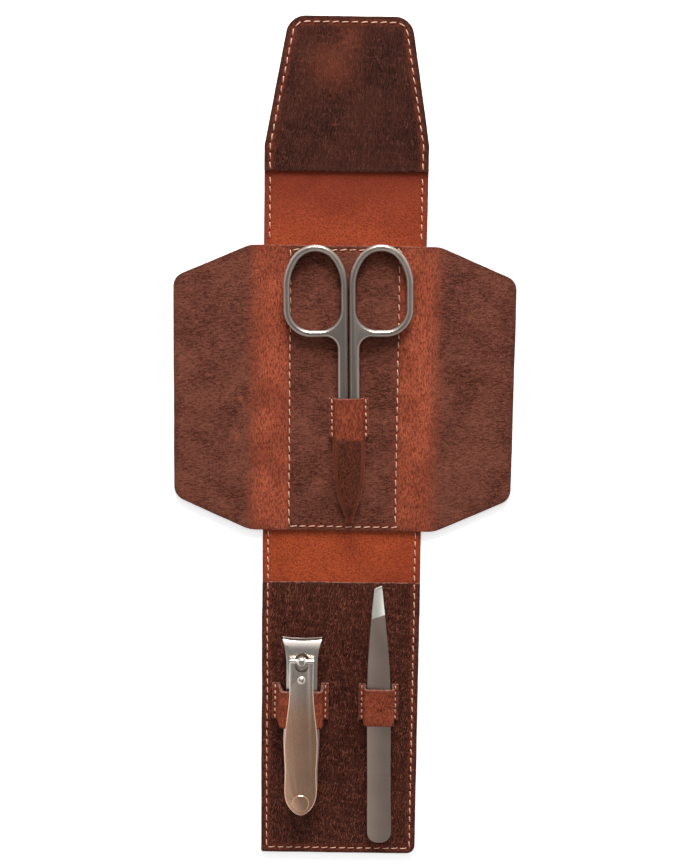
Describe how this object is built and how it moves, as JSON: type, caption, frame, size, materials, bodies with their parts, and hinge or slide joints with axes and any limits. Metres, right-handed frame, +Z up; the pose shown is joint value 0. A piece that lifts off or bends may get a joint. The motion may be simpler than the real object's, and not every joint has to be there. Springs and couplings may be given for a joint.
{
  "type": "leather manicure set case",
  "caption": "Folding leather manicure case, laid open, with winged cross-piece, scissors in a sheath, nail clipper and slanted tweezers under loops.",
  "frame": {"origin": "middle of the open case's length and width, on the surface it lies on", "axes": "+X across the strip, +Y along it towards the flap, +Z up"},
  "size_m": [0.1106, 0.2766, 0.0113],
  "materials": {
    "outer_leather": "smooth waxed, orange-tan inner face",
    "lining_leather": "brushed pull-up",
    "strap_leather": "brushed pull-up",
    "thread": "waxed thread",
    "satin_steel": "satin",
    "magnet": "nickel plated"
  },
  "bodies": {
    "back": {"outer_back": "outer_leather", "centre_lining": "lining_leather", "centre_stitching": "thread", "scissors_sheath": "strap_leather", "sheath_stitching": "thread"},
    "top_spine": {"outer_top_spine": "outer_leather", "top_spine_stitching": "thread"},
    "flap": {"outer_flap": "outer_leather", "flap_lining": "lining_leather", "flap_stitching": "thread", "flap_magnet": "magnet"},
    "bottom_spine": {"outer_bottom_spine": "outer_leather", "bottom_spine_stitching": "thread"},
    "tool_panel": {"outer_tool_panel": "outer_leather", "tool_panel_lining": "lining_leather", "tool_panel_stitching": "thread", "panel_magnet": "magnet", "clipper_loop": "strap_leather", "clipper_loop_stitching": "thread", "tweezers_loop": "strap_leather", "tweezers_loop_stitching": "thread"},
    "left_wing": {"left_wing": "lining_leather"},
    "right_wing": {"right_wing": "lining_leather"},
    "scissors": {"scissors_left_half": "satin_steel", "scissors_screw": "satin_steel"},
    "scissors_right": {"scissors_right_half": "satin_steel"},
    "clipper": {"clipper_lower_jaw": "satin_steel"},
    "clipper_upper": {"clipper_upper_jaw": "satin_steel", "clipper_tail_rivet": "satin_steel"},
    "clipper_pin": {"clipper_pin": "satin_steel"},
    "clipper_lever": {"clipper_lever": "satin_steel"},
    "tweezers": {"tweezers_lower_arm": "satin_steel"},
    "tweezers_upper": {"tweezers_upper_arm": "satin_steel"}
  },
  "joints": [
    {"name": "top_spine_fold", "type": "hinge", "parent": "back", "child": "top_spine", "pos_m": [0, 0.068, 0.0016], "axis": [1, 0, 0], "range_deg": [0, 90]},
    {"name": "flap_fold", "type": "hinge", "parent": "top_spine", "child": "flap", "pos_m": [0, 0.0881, 0.0016], "axis": [1, 0, 0], "range_deg": [0, 90]},
    {"name": "bottom_spine_fold", "type": "hinge", "parent": "back", "child": "bottom_spine", "pos_m": [0, -0.0266, 0.0016], "axis": [-1, 0, 0], "range_deg": [0, 90]},
    {"name": "tool_panel_fold", "type": "hinge", "parent": "bottom_spine", "child": "tool_panel", "pos_m": [0, -0.044, 0.0016], "axis": [-1, 0, 0], "range_deg": [0, 90]},
    {"name": "left_wing_fold", "type": "hinge", "parent": "back", "child": "left_wing", "pos_m": [-0.024, 0.02, 0.0046], "axis": [0, 1, 0], "range_deg": [0, 179.9]},
    {"name": "right_wing_fold", "type": "hinge", "parent": "back", "child": "right_wing", "pos_m": [0.024, 0.02, 0.0052], "axis": [0, -1, 0], "range_deg": [0, 179.9]},
    {"name": "scissors_slide", "type": "slide", "parent": "back", "child": "scissors", "axis": [0.0175, -0.9998, 0], "range_m": [-0.12, 0]},
    {"name": "scissors_open", "type": "hinge", "parent": "scissors", "child": "scissors_right", "pos_m": [0.00185, 0.009, 0.0041], "axis": [0, 0, 1], "range_deg": [-18, 0]},
    {"name": "clipper_slide", "type": "slide", "parent": "tool_panel", "child": "clipper", "axis": [0, -1, 0], "range_m": [-0.05, 0]},
    {"name": "clipper_jaw_close", "type": "hinge", "parent": "clipper", "child": "clipper_upper", "pos_m": [-0.0126, -0.1151, 0.004], "axis": [1, 0, 0], "range_deg": [-1.1, 0], "stiffness_Nm_per_rad": 8},
    {"name": "clipper_pin_swivel", "type": "hinge", "parent": "clipper", "child": "clipper_pin", "pos_m": [-0.0126, -0.0688, 0.004], "axis": [0, 0, 1], "range_deg": [-180, 0]},
    {"name": "clipper_lever_lift", "type": "hinge", "parent": "clipper_pin", "child": "clipper_lever", "pos_m": [-0.0126, -0.0688, 0.0096], "axis": [1, 0, 0], "range_deg": [-160, 0]},
    {"name": "tweezers_slide", "type": "slide", "parent": "tool_panel", "child": "tweezers", "axis": [0.0192, -0.9998, 0], "range_m": [-0.058, 0]},
    {"name": "tweezers_squeeze", "type": "hinge", "parent": "tweezers", "child": "tweezers_upper", "pos_m": [0.01377, -0.12459, 0.0037], "axis": [0.9998, 0.0192, 0], "range_deg": [-1.9, 0], "stiffness_Nm_per_rad": 4}
  ],
  "couplings": [
    {"joint": "scissors_open", "follows": "scissors_slide", "rad_per_m": 2.6}
  ]
}
